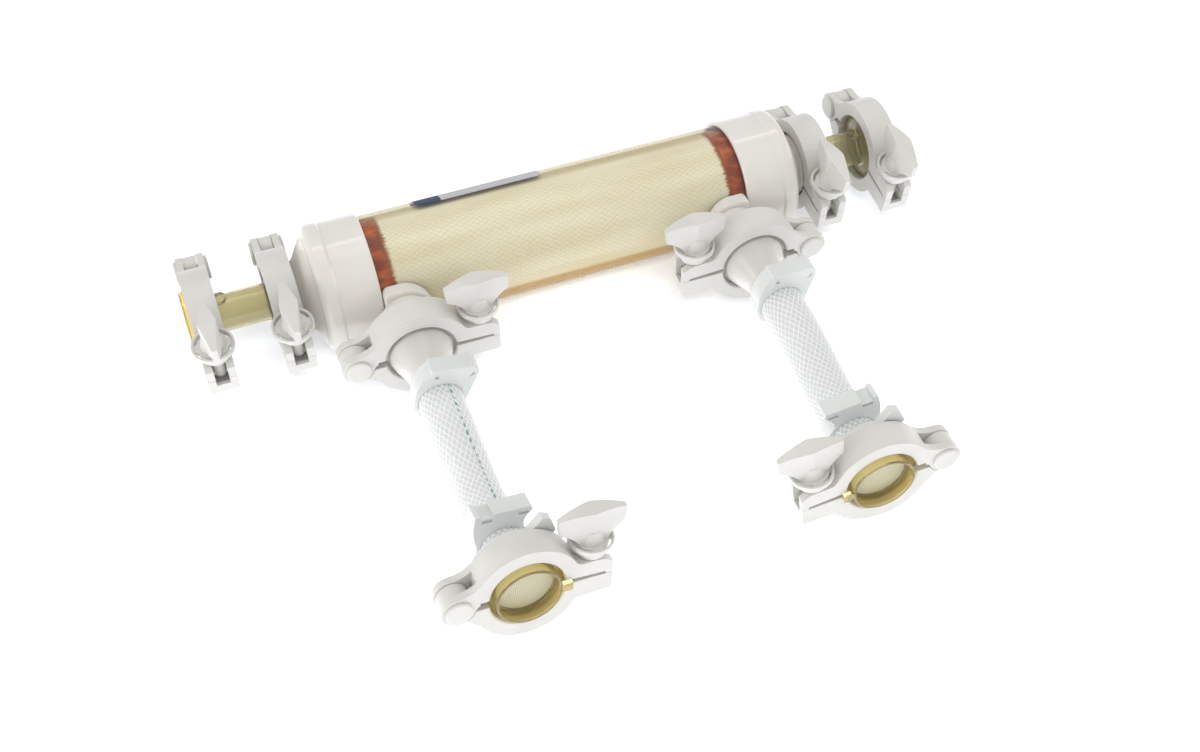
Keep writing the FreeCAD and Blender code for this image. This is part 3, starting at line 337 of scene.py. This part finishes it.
def makeFibres():
    material, tree, output, place = newMaterial("crimpedHollowFibre")
    split, flat = unrolled(tree, place)
    weave, strands = weaveOf(tree, flat)
    woven = addNode(tree, "ShaderNodeValToRGB", links={"Fac": weave},
                    stops=[(0.12, fibres["dark"]), (0.27, fibres["mid"]), (0.5, fibres["light"])])
    colour = soakedEnds(tree, split.outputs["X"], strands, woven.outputs["Color"])
    colour = shadedSwellsAlong(tree, flat, colour)
    colour = tanOutlineShadedBelow(tree, split.outputs["Z"], colour)
    bump = addNode(tree, "ShaderNodeBump", inputs={"Strength": 0.12, "Distance": fibres["crimpHeight"] * mm},
                   links={"Height": weave})
    shader = addNode(tree, "ShaderNodeBsdfPrincipled",
                     links={"Base Color": colour, "Normal": bump.outputs["Normal"]},
                     inputs={"Roughness": 0.55, "IOR": 1.5, "Sheen Weight": 0.15})
    tree.links.new(shader.outputs["BSDF"], output.inputs["Surface"])
    return material


fibreBundle = makeFibres()

# Cast resin that pots the fibre ends: red-brown, half clear, cloudy where the strands lie in it, and
# lighter from the top height down to the foot
resin = {"dark": "#8a3614", "mid": "#bb5a24", "light": "#e2924a", "clouds": 130.0, "pull": 0.6, "top": 80.0,
         "foot": 30.0}


def makeResin():
    material, tree, output, place = newMaterial("castPottingResin")
    stretch = addNode(tree, "ShaderNodeMapping", links={"Vector": place},
                      inputs={"Scale": (resin["pull"], 1.0, 1.0)})
    cloud = addNode(tree, "ShaderNodeTexNoise", links={"Vector": stretch.outputs["Vector"]},
                    inputs={"Scale": resin["clouds"], "Detail": 3.0, "Roughness": 0.55})
    split = addNode(tree, "ShaderNodeSeparateXYZ", links={"Vector": place})
    low = addNode(tree, "ShaderNodeMapRange", links={"Value": split.outputs["Z"]},
                  inputs={"From Min": resin["top"] * mm, "From Max": resin["foot"] * mm, "To Min": -0.1,
                          "To Max": 0.2})
    mixed = addNode(tree, "ShaderNodeMath", operation="ADD",
                    links={0: cloud.outputs["Fac"], 1: low.outputs["Result"]})
    colour = addNode(tree, "ShaderNodeValToRGB", links={"Fac": mixed.outputs[0]},
                     stops=[(0.36, resin["dark"]), (0.52, resin["mid"]), (0.78, resin["light"])])
    shader = addNode(tree, "ShaderNodeBsdfPrincipled", links={"Base Color": colour.outputs["Color"]},
                     inputs={"Roughness": 0.3, "IOR": 1.3, "Subsurface Weight": 0.15,
                             "Subsurface Scale": 0.003, "Subsurface Radius": (1.0, 0.5, 0.2)})
    tree.links.new(shader.outputs["BSDF"], output.inputs["Surface"])
    return material


pottingResin = makeResin()

# Coated paper label, left bare: white, with a dark blue field that ends at an X. A little light
# comes through the paper
sticker = {"white": "#d0cfd1", "blue": "#404a69", "fieldEnd": -73.0, "pulp": 2500.0, "pulpHeight": 0.02,
           "through": 0.2}


def makeSticker():
    material, tree, output, place = newMaterial("coatedPaperLabel")
    split = addNode(tree, "ShaderNodeSeparateXYZ", links={"Vector": place})
    side = addNode(tree, "ShaderNodeMath", operation="LESS_THAN", links={0: split.outputs["X"]},
                   inputs={1: sticker["fieldEnd"] * mm})
    pulp = addNode(tree, "ShaderNodeTexNoise", links={"Vector": place},
                   inputs={"Scale": sticker["pulp"], "Detail": 2.0})
    colour = addNode(tree, "ShaderNodeValToRGB", links={"Fac": side.outputs[0]},
                     stops=[(0.4, sticker["white"]), (0.6, sticker["blue"])])
    bump = addNode(tree, "ShaderNodeBump", inputs={"Strength": 0.2, "Distance": sticker["pulpHeight"] * mm},
                   links={"Height": pulp.outputs["Fac"]})
    shader = addNode(tree, "ShaderNodeBsdfPrincipled",
                     links={"Base Color": colour.outputs["Color"], "Normal": bump.outputs["Normal"]},
                     inputs={"Roughness": 0.55, "IOR": 1.35})
    through = addNode(tree, "ShaderNodeBsdfTranslucent", links={"Color": colour.outputs["Color"]})
    mix = addNode(tree, "ShaderNodeMixShader", inputs={"Fac": sticker["through"]},
                  links={1: shader.outputs["BSDF"], 2: through.outputs["BSDF"]})
    tree.links.new(mix.outputs["Shader"], output.inputs["Surface"])
    return material


labelPaper = makeSticker()

# Pressed pale disc in each cup: matt, with a fine linen mark
disc = {"light": "#d8d5c2", "dark": "#b5b092", "thread": 1.1}


def makeDisc():
    material, tree, output, place = newMaterial("pressedPaleDisc")
    threads = []
    for way in ("X", "Z"):
        band = addNode(tree, "ShaderNodeTexWave", links={"Vector": place}, bands_direction=way,
                       inputs={"Scale": waveTurn / (disc["thread"] * mm), "Distortion": 0.6, "Detail": 1.0})
        threads.append(band.outputs["Fac"])
    cross = addNode(tree, "ShaderNodeMath", operation="MULTIPLY", links={0: threads[0], 1: threads[1]})
    colour = addNode(tree, "ShaderNodeValToRGB", links={"Fac": cross.outputs[0]},
                     stops=[(0.05, disc["dark"]), (0.45, disc["light"])])
    shader = addNode(tree, "ShaderNodeBsdfPrincipled", links={"Base Color": colour.outputs["Color"]},
                     inputs={"Roughness": 0.5, "IOR": 1.5})
    tree.links.new(shader.outputs["BSDF"], output.inputs["Surface"])
    return material


paleDisc = makeDisc()

# Polyester yarn of the hose braid: white, matt, twisted
yarn = {"base": "#f5f5f4", "shade": "#ebecec", "twist": 0.35, "twistHeight": 0.08}


def makeYarn():
    material, tree, output, place = newMaterial("braidedPolyesterYarn")
    fluff = addNode(tree, "ShaderNodeTexNoise", links={"Vector": place},
                    inputs={"Scale": 1 / (yarn["twist"] * mm)})
    colour = addNode(tree, "ShaderNodeValToRGB", links={"Fac": fluff.outputs["Fac"]},
                     stops=[(0.35, yarn["shade"]), (0.6, yarn["base"])])
    bump = addNode(tree, "ShaderNodeBump", inputs={"Strength": 0.5, "Distance": yarn["twistHeight"] * mm},
                   links={"Height": fluff.outputs["Fac"]})
    shader = addNode(tree, "ShaderNodeBsdfPrincipled",
                     links={"Base Color": colour.outputs["Color"], "Normal": bump.outputs["Normal"]},
                     inputs={"Roughness": 0.6, "IOR": 1.5, "Sheen Weight": 0.2})
    tree.links.new(shader.outputs["BSDF"], output.inputs["Surface"])
    return material


braidYarn = makeYarn()

# Screen-printed ink on the braid: matt green, broken up by the yarn
printInk = {"full": "#3f8c76", "worn": "#86b8a8", "wear": 900.0}


def makeInk():
    material, tree, output, place = newMaterial("printedGreenInk")
    wear = addNode(tree, "ShaderNodeTexNoise", links={"Vector": place}, inputs={"Scale": printInk["wear"]})
    colour = addNode(tree, "ShaderNodeValToRGB", links={"Fac": wear.outputs["Fac"]},
                     stops=[(0.3, printInk["full"]), (0.7, printInk["worn"])])
    shader = addNode(tree, "ShaderNodeBsdfPrincipled", links={"Base Color": colour.outputs["Color"]},
                     inputs={"Roughness": 0.5})
    tree.links.new(shader.outputs["BSDF"], output.inputs["Surface"])
    return material


greenInk = makeInk()
print("materials made")

# How the names of the CAD nodes begin, and the finish that they get
finishes = [
    (("clamp_", "hinge_pins", "swing_bolt", "wing_nut"), clampNylon),
    (("hose_clip", "ramp_collars"), clipNylon),
    (("end_cap", "side_port"), creamCap),
    (("shell_tube",), shellClear),
    (("fibre_bundle",), fibreBundle),
    (("potting",), pottingResin),
    (("label",), labelPaper),
    (("cover_cup", "hose_connector"), amberCup),
    (("end_connector",), amberTube),
    (("side_reducer",), frosted),
    (("hose_left", "hose_right"), hoseClear),
    (("cup_discs",), paleDisc),
    (("gaskets",), gasketClear),
]
for nodeName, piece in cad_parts.items():
    for starts, finish in finishes:
        if nodeName.startswith(starts):
            piece.data.materials.clear()
            piece.data.materials.append(finish)
            break
print("finishes given to the CAD nodes")

# The corners of each hose's line, and how much of the shorter run beside a corner its bend takes
hoses = {
    "left": [(-117.5, 7.69, 44), (-117.5, -37.31, 44), (-114.39, -82.98, 25.08), (-111.92, -133.58, 31.75)],
    "right": [(117.5, 7.69, 44), (117.5, -37.31, 44), (119.33, -81.83, 30), (117.73, -132.84, 32.58)],
}
bendShare = 0.47
# Braid of each hose: two sets of yarns wound both ways round the hose's own line. Samples are the
# points along a yarn and sides the corners of its section
braid = {"yarns": 24, "lead": 128.0, "radius": 14.18, "thick": 0.5, "samples": 110, "sides": 5}
# Print specks in a row along the left hose, from the start share of its line to the end share. Each
# is scaled at random between the two limits
inkLine = {"marks": 26, "radius": 14.78, "angle": 24.0, "length": 2.3, "width": 1.0, "height": 0.1,
           "start": 0.1, "end": 0.93, "smallest": 0.6, "largest": 1.25, "seed": 4}


def tangentLine(corners, steps=12):
    # straight runs joined by arcs, the way the solid hose runs
    line = [corners[0]]
    for before, corner, after in zip(corners, corners[1:], corners[2:]):
        back, ahead = before - corner, after - corner
        turn = math.pi - back.angle(ahead)
        reach = bendShare * min(back.length, ahead.length)
        back.normalize()
        ahead.normalize()
        centre = corner + (back + ahead).normalized() * (reach / math.sin(turn / 2))
        enter = corner + back * reach - centre
        axis = enter.cross(corner + ahead * reach - centre).normalized()
        line += [centre + Matrix.Rotation(turn * step / steps, 3, axis) @ enter for step in range(steps + 1)]
    return line + [corners[-1]]


def routeOf(name, corners):
    points = tangentLine([Vector(corner) * mm for corner in corners])
    curve = bpy.data.curves.new(name, "CURVE")
    curve.dimensions = "3D"
    spline = curve.splines.new("POLY")
    spline.points.add(len(points) - 1)
    for knot, point in zip(spline.points, points):
        knot.co = (*point, 1.0)
    route = bpy.data.objects.new(name, curve)
    bpy.context.scene.collection.objects.link(route)
    return route


def treeWithInputs(name, inputs):
    tree = bpy.data.node_groups.new(name, "GeometryNodeTree")
    tree.interface.new_socket("Geometry", in_out="INPUT", socket_type="NodeSocketGeometry")
    for label, kind, value in inputs:
        socket = tree.interface.new_socket(label, in_out="INPUT", socket_type=kind)
        if value is not None:
            socket.default_value = value
    tree.interface.new_socket("Geometry", in_out="OUTPUT", socket_type="NodeSocketGeometry")
    return tree, addNode(tree, "NodeGroupInput"), addNode(tree, "NodeGroupOutput")


def offsetFromLine(tree, geometry, angle, radius):
    # moves each point out from its curve, at an angle round it
    tangent = addNode(tree, "GeometryNodeInputTangent")
    upright = addNode(tree, "ShaderNodeVectorMath", operation="CROSS_PRODUCT",
                      links={0: tangent.outputs[0]}, inputs={1: (1.0, 0.0, 0.0)})
    normal = addNode(tree, "ShaderNodeVectorMath", operation="NORMALIZE", links={0: upright.outputs[0]})
    side = addNode(tree, "ShaderNodeVectorMath", operation="CROSS_PRODUCT",
                   links={0: normal.outputs[0], 1: tangent.outputs[0]})
    cosine = addNode(tree, "ShaderNodeMath", operation="COSINE", links={0: angle})
    sine = addNode(tree, "ShaderNodeMath", operation="SINE", links={0: angle})
    lift = addNode(tree, "ShaderNodeVectorMath", operation="SCALE",
                   links={0: normal.outputs[0], "Scale": cosine.outputs[0]})
    slip = addNode(tree, "ShaderNodeVectorMath", operation="SCALE",
                   links={0: side.outputs[0], "Scale": sine.outputs[0]})
    total = addNode(tree, "ShaderNodeVectorMath", operation="ADD",
                    links={0: lift.outputs[0], 1: slip.outputs[0]})
    out = addNode(tree, "ShaderNodeVectorMath", operation="SCALE",
                  links={0: total.outputs[0], "Scale": radius})
    moved = addNode(tree, "GeometryNodeSetPosition", links={"Geometry": geometry, "Offset": out.outputs[0]})
    return moved.outputs["Geometry"]


def finishTree(tree, geometry, source, sink):
    # real geometry with its finish on, as the export needs it
    real = addNode(tree, "GeometryNodeRealizeInstances", links={"Geometry": geometry})
    coat = addNode(tree, "GeometryNodeSetMaterial",
                   links={"Geometry": real.outputs["Geometry"], "Material": source.outputs["Material"]})
    tree.links.new(coat.outputs["Geometry"], sink.inputs["Geometry"])
    return tree


def braidTree():
    tree, source, sink = treeWithInputs("woundYarns", [
        ("Yarns", "NodeSocketInt", braid["yarns"]), ("Radius", "NodeSocketFloat", braid["radius"] * mm),
        ("Lead", "NodeSocketFloat", braid["lead"] * mm),
        ("Yarn Thickness", "NodeSocketFloat", braid["thick"] * mm),
        ("Material", "NodeSocketMaterial", None)])
    line = addNode(tree, "GeometryNodeResampleCurve", links={"Curve": source.outputs["Geometry"]},
                   inputs={"Count": braid["samples"]})
    join = addNode(tree, "GeometryNodeJoinGeometry")
    # one set of yarns each way round; a yarn starts at its own share of the turn
    for direction in (1.0, -1.0):
        copies = addNode(tree, "GeometryNodeDuplicateElements", domain="SPLINE",
                         links={"Geometry": line.outputs["Curve"], "Amount": source.outputs["Yarns"]})
        share = addNode(tree, "ShaderNodeMath", operation="DIVIDE",
                        links={0: copies.outputs["Duplicate Index"], 1: source.outputs["Yarns"]})
        along = addNode(tree, "GeometryNodeSplineParameter")
        turns = addNode(tree, "ShaderNodeMath", operation="DIVIDE",
                        links={0: along.outputs["Length"], 1: source.outputs["Lead"]})
        signed = addNode(tree, "ShaderNodeMath", operation="MULTIPLY_ADD",
                         links={0: turns.outputs[0], 2: share.outputs[0]}, inputs={1: direction})
        angle = addNode(tree, "ShaderNodeMath", operation="MULTIPLY", links={0: signed.outputs[0]},
                        inputs={1: 2 * math.pi})
        moved = offsetFromLine(tree, copies.outputs["Geometry"], angle.outputs[0], source.outputs["Radius"])
        tree.links.new(moved, join.inputs["Geometry"])
    thread = addNode(tree, "GeometryNodeCurvePrimitiveCircle", mode="RADIUS",
                     links={"Radius": source.outputs["Yarn Thickness"]},
                     inputs={"Resolution": braid["sides"]})
    mesh = addNode(tree, "GeometryNodeCurveToMesh", inputs={"Fill Caps": True},
                   links={"Curve": join.outputs["Geometry"], "Profile Curve": thread.outputs["Curve"]})
    return finishTree(tree, mesh.outputs["Mesh"], source, sink)


def inkTree():
    tree, source, sink = treeWithInputs("printedMarks", [
        ("Marks", "NodeSocketInt", inkLine["marks"]), ("Radius", "NodeSocketFloat", inkLine["radius"] * mm),
        ("Angle", "NodeSocketFloat", math.radians(inkLine["angle"])),
        ("Seed", "NodeSocketInt", inkLine["seed"]),
        ("Material", "NodeSocketMaterial", None)])
    trim = addNode(tree, "GeometryNodeTrimCurve", mode="FACTOR", links={"Curve": source.outputs["Geometry"]},
                   inputs={"Start": inkLine["start"], "End": inkLine["end"]})
    line = addNode(tree, "GeometryNodeResampleCurve",
                   links={"Curve": trim.outputs["Curve"], "Count": source.outputs["Marks"]})
    moved = offsetFromLine(tree, line.outputs["Curve"], source.outputs["Angle"], source.outputs["Radius"])
    points = addNode(tree, "GeometryNodeCurveToPoints", mode="EVALUATED", links={"Curve": moved})
    dashSize = (inkLine["width"] * mm, inkLine["length"] * mm, inkLine["height"] * mm)
    dash = addNode(tree, "GeometryNodeMeshCube", inputs={"Size": dashSize})
    # inputs 2 and 3 are the limits of the number at output 1
    size = addNode(tree, "FunctionNodeRandomValue", data_type="FLOAT", links={"Seed": source.outputs["Seed"]},
                   inputs={2: inkLine["smallest"], 3: inkLine["largest"]})
    lean = (math.sin(math.radians(inkLine["angle"])), 0.0, math.cos(math.radians(inkLine["angle"])))
    tilt = addNode(tree, "FunctionNodeAxesToRotation", primary_axis="Y", secondary_axis="Z",
                   links={"Primary Axis": points.outputs["Tangent"]}, inputs={"Secondary Axis": lean})
    dashes = addNode(tree, "GeometryNodeInstanceOnPoints",
                     links={"Points": points.outputs["Points"], "Instance": dash.outputs["Mesh"],
                            "Rotation": tilt.outputs["Rotation"], "Scale": size.outputs[1]})
    return finishTree(tree, dashes.outputs["Instances"], source, sink)


def bakedFrom(route, tree, name, finish):
    # runs the tree on a route and keeps the plain mesh
    modifier = route.modifiers.new(tree.name, "NODES")
    modifier.node_group = tree
    for item in tree.interface.items_tree:
        if item.item_type == "SOCKET" and item.in_out == "INPUT" and item.name == "Material":
            modifier[item.identifier] = finish
    graph = bpy.context.evaluated_depsgraph_get()
    mesh = bpy.data.meshes.new_from_object(route.evaluated_get(graph), depsgraph=graph)
    mesh.name = name
    route.modifiers.remove(modifier)
    piece = bpy.data.objects.new(name, mesh)
    bpy.context.scene.collection.objects.link(piece)
    return piece


yarnTree = braidTree()
markTree = inkTree()
for side, corners in hoses.items():
    route = routeOf("hoseLine_" + side, corners)
    yarns = bakedFrom(route, yarnTree, "hose_braid_" + side, braidYarn)
    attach(yarns, "cartridge")
    print("braid", side, len(yarns.data.polygons), "faces")
    if side == "left":
        marks = bakedFrom(route, markTree, "hose_print_left", greenInk)
        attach(marks, "cartridge")
        print("print marks", len(marks.data.polygons), "faces")
    bpy.data.objects.remove(route)

# A lit white sweep under a white tent. The floor's half width and its drop are in metres
studio = {"floor": "#f2f4f9", "shade": "#eff1f6", "glowInk": "#fafbff", "glow": 0.2, "specks": 300.0,
          "half": 4.0, "drop": 0.0003, "world": 0.78}
# Place, aim and size of each softbox in metres, and its power in watts
softboxes = {
    "sweepBox": ((-0.05, -0.66, 1.2), (0.0, 0.0, 0.0), (0.9, 0.3), 13.0),
    "overheadBox": ((0.1, 0.12, 1.4), (0.0, 0.05, 0.0), (1.3, 0.35), 1.1),
    "stripBox": ((0.0, 0.6, 1.15), (0.0, 0.11, 0.0), (1.7, 0.12), 1.6),
    "leftBox": ((-1.5, -0.4, 0.5), (0.0, 0.0, 0.0), (1.0, 0.8), 6.5),
    "frontFill": ((0.3, -1.5, 0.8), (0.0, 0.0, 0.0), (1.2, 0.7), 0.2),
    "lowBox": ((-1.1, -1.2, 0.28), (-0.1, 0.1, 0.03), (1.3, 0.5), 0.4),
    "rightBox": ((1.5, -0.3, 0.5), (0.0, 0.0, 0.0), (0.9, 0.8), 4.0),
}


def makeFloor():
    mesh = bpy.data.meshes.new("studioFloor")
    half = studio["half"]
    corners = [(-half, -half, 0), (half, -half, 0), (half, half, 0), (-half, half, 0)]
    mesh.from_pydata(corners, [], [(0, 1, 2, 3)])
    floor = bpy.data.objects.new("studioFloor", mesh)
    floor.location.z = -studio["drop"]
    bpy.context.scene.collection.objects.link(floor)
    material, tree, output, place = newMaterial("paintedStudioFloor")
    speck = addNode(tree, "ShaderNodeTexNoise", links={"Vector": place}, inputs={"Scale": studio["specks"]})
    colour = addNode(tree, "ShaderNodeValToRGB", links={"Fac": speck.outputs["Fac"]},
                     stops=[(0.3, studio["shade"]), (0.7, studio["floor"])])
    shader = addNode(tree, "ShaderNodeBsdfPrincipled", links={"Base Color": colour.outputs["Color"]},
                     inputs={"Roughness": 0.7, "Emission Color": inkOf(studio["glowInk"]),
                             "Emission Strength": studio["glow"]})
    tree.links.new(shader.outputs["BSDF"], output.inputs["Surface"])
    mesh.materials.append(material)
    return floor


def makeSoftbox(name, place, aim, size, power):
    lamp = bpy.data.lights.new(name, "AREA")
    lamp.shape = "RECTANGLE"
    lamp.size, lamp.size_y = size
    lamp.energy = power
    box = bpy.data.objects.new(name, lamp)
    box.location = place
    box.rotation_euler = (Vector(aim) - Vector(place)).to_track_quat("-Z", "Y").to_euler()
    bpy.context.scene.collection.objects.link(box)
    return box


def lightOnly(box, target):
    # the box lights its target alone, here the sweep, on which soft contact shadows are left
    receivers = bpy.data.collections.new("sweepOnly")
    receivers.objects.link(target)
    box.light_linking.receiver_collection = receivers


def makeWorld():
    world = bpy.data.worlds.new("studioWorld")
    bpy.context.scene.world = world
    world.use_nodes = True
    tent = world.node_tree.nodes["Background"]
    tent.inputs["Color"].default_value = inkOf("#ffffff")
    tent.inputs["Strength"].default_value = studio["world"]


floor = makeFloor()
boxes = {name: makeSoftbox(name, *look) for name, look in softboxes.items()}
lightOnly(boxes["sweepBox"], floor)
makeWorld()
bpy.context.scene.view_settings.view_transform = "Standard"

# The camera that was fitted to the photo: place, lens and sensor in mm, angles in radians
view = {"place": (-235.8, -624.9, 782.4), "yaw": 0.35086, "pitch": 0.85909, "roll": -0.0097, "lens": 45.97,
        "sensor": 36.0, "farEnd": 20000.0}


def placeCamera():
    yaw, pitch, roll = view["yaw"], view["pitch"], view["roll"]
    ahead = Vector((math.sin(yaw) * math.cos(pitch), math.cos(yaw) * math.cos(pitch), -math.sin(pitch)))
    right = Vector((math.cos(yaw), -math.sin(yaw), 0.0))
    up = right.cross(ahead)
    across = math.cos(roll) * right + math.sin(roll) * up
    upright = -math.sin(roll) * right + math.cos(roll) * up
    lens = bpy.data.cameras.new("photoCamera")
    lens.lens = view["lens"]
    lens.sensor_width = view["sensor"]
    lens.clip_end = view["farEnd"] * mm
    camera = bpy.data.objects.new("photoCamera", lens)
    turned = Matrix((across, upright, -ahead)).transposed().to_4x4()
    camera.matrix_world = Matrix.Translation(Vector(view["place"]) * mm) @ turned
    bpy.context.scene.collection.objects.link(camera)
    bpy.context.scene.camera = camera


placeCamera()
print("studio set")
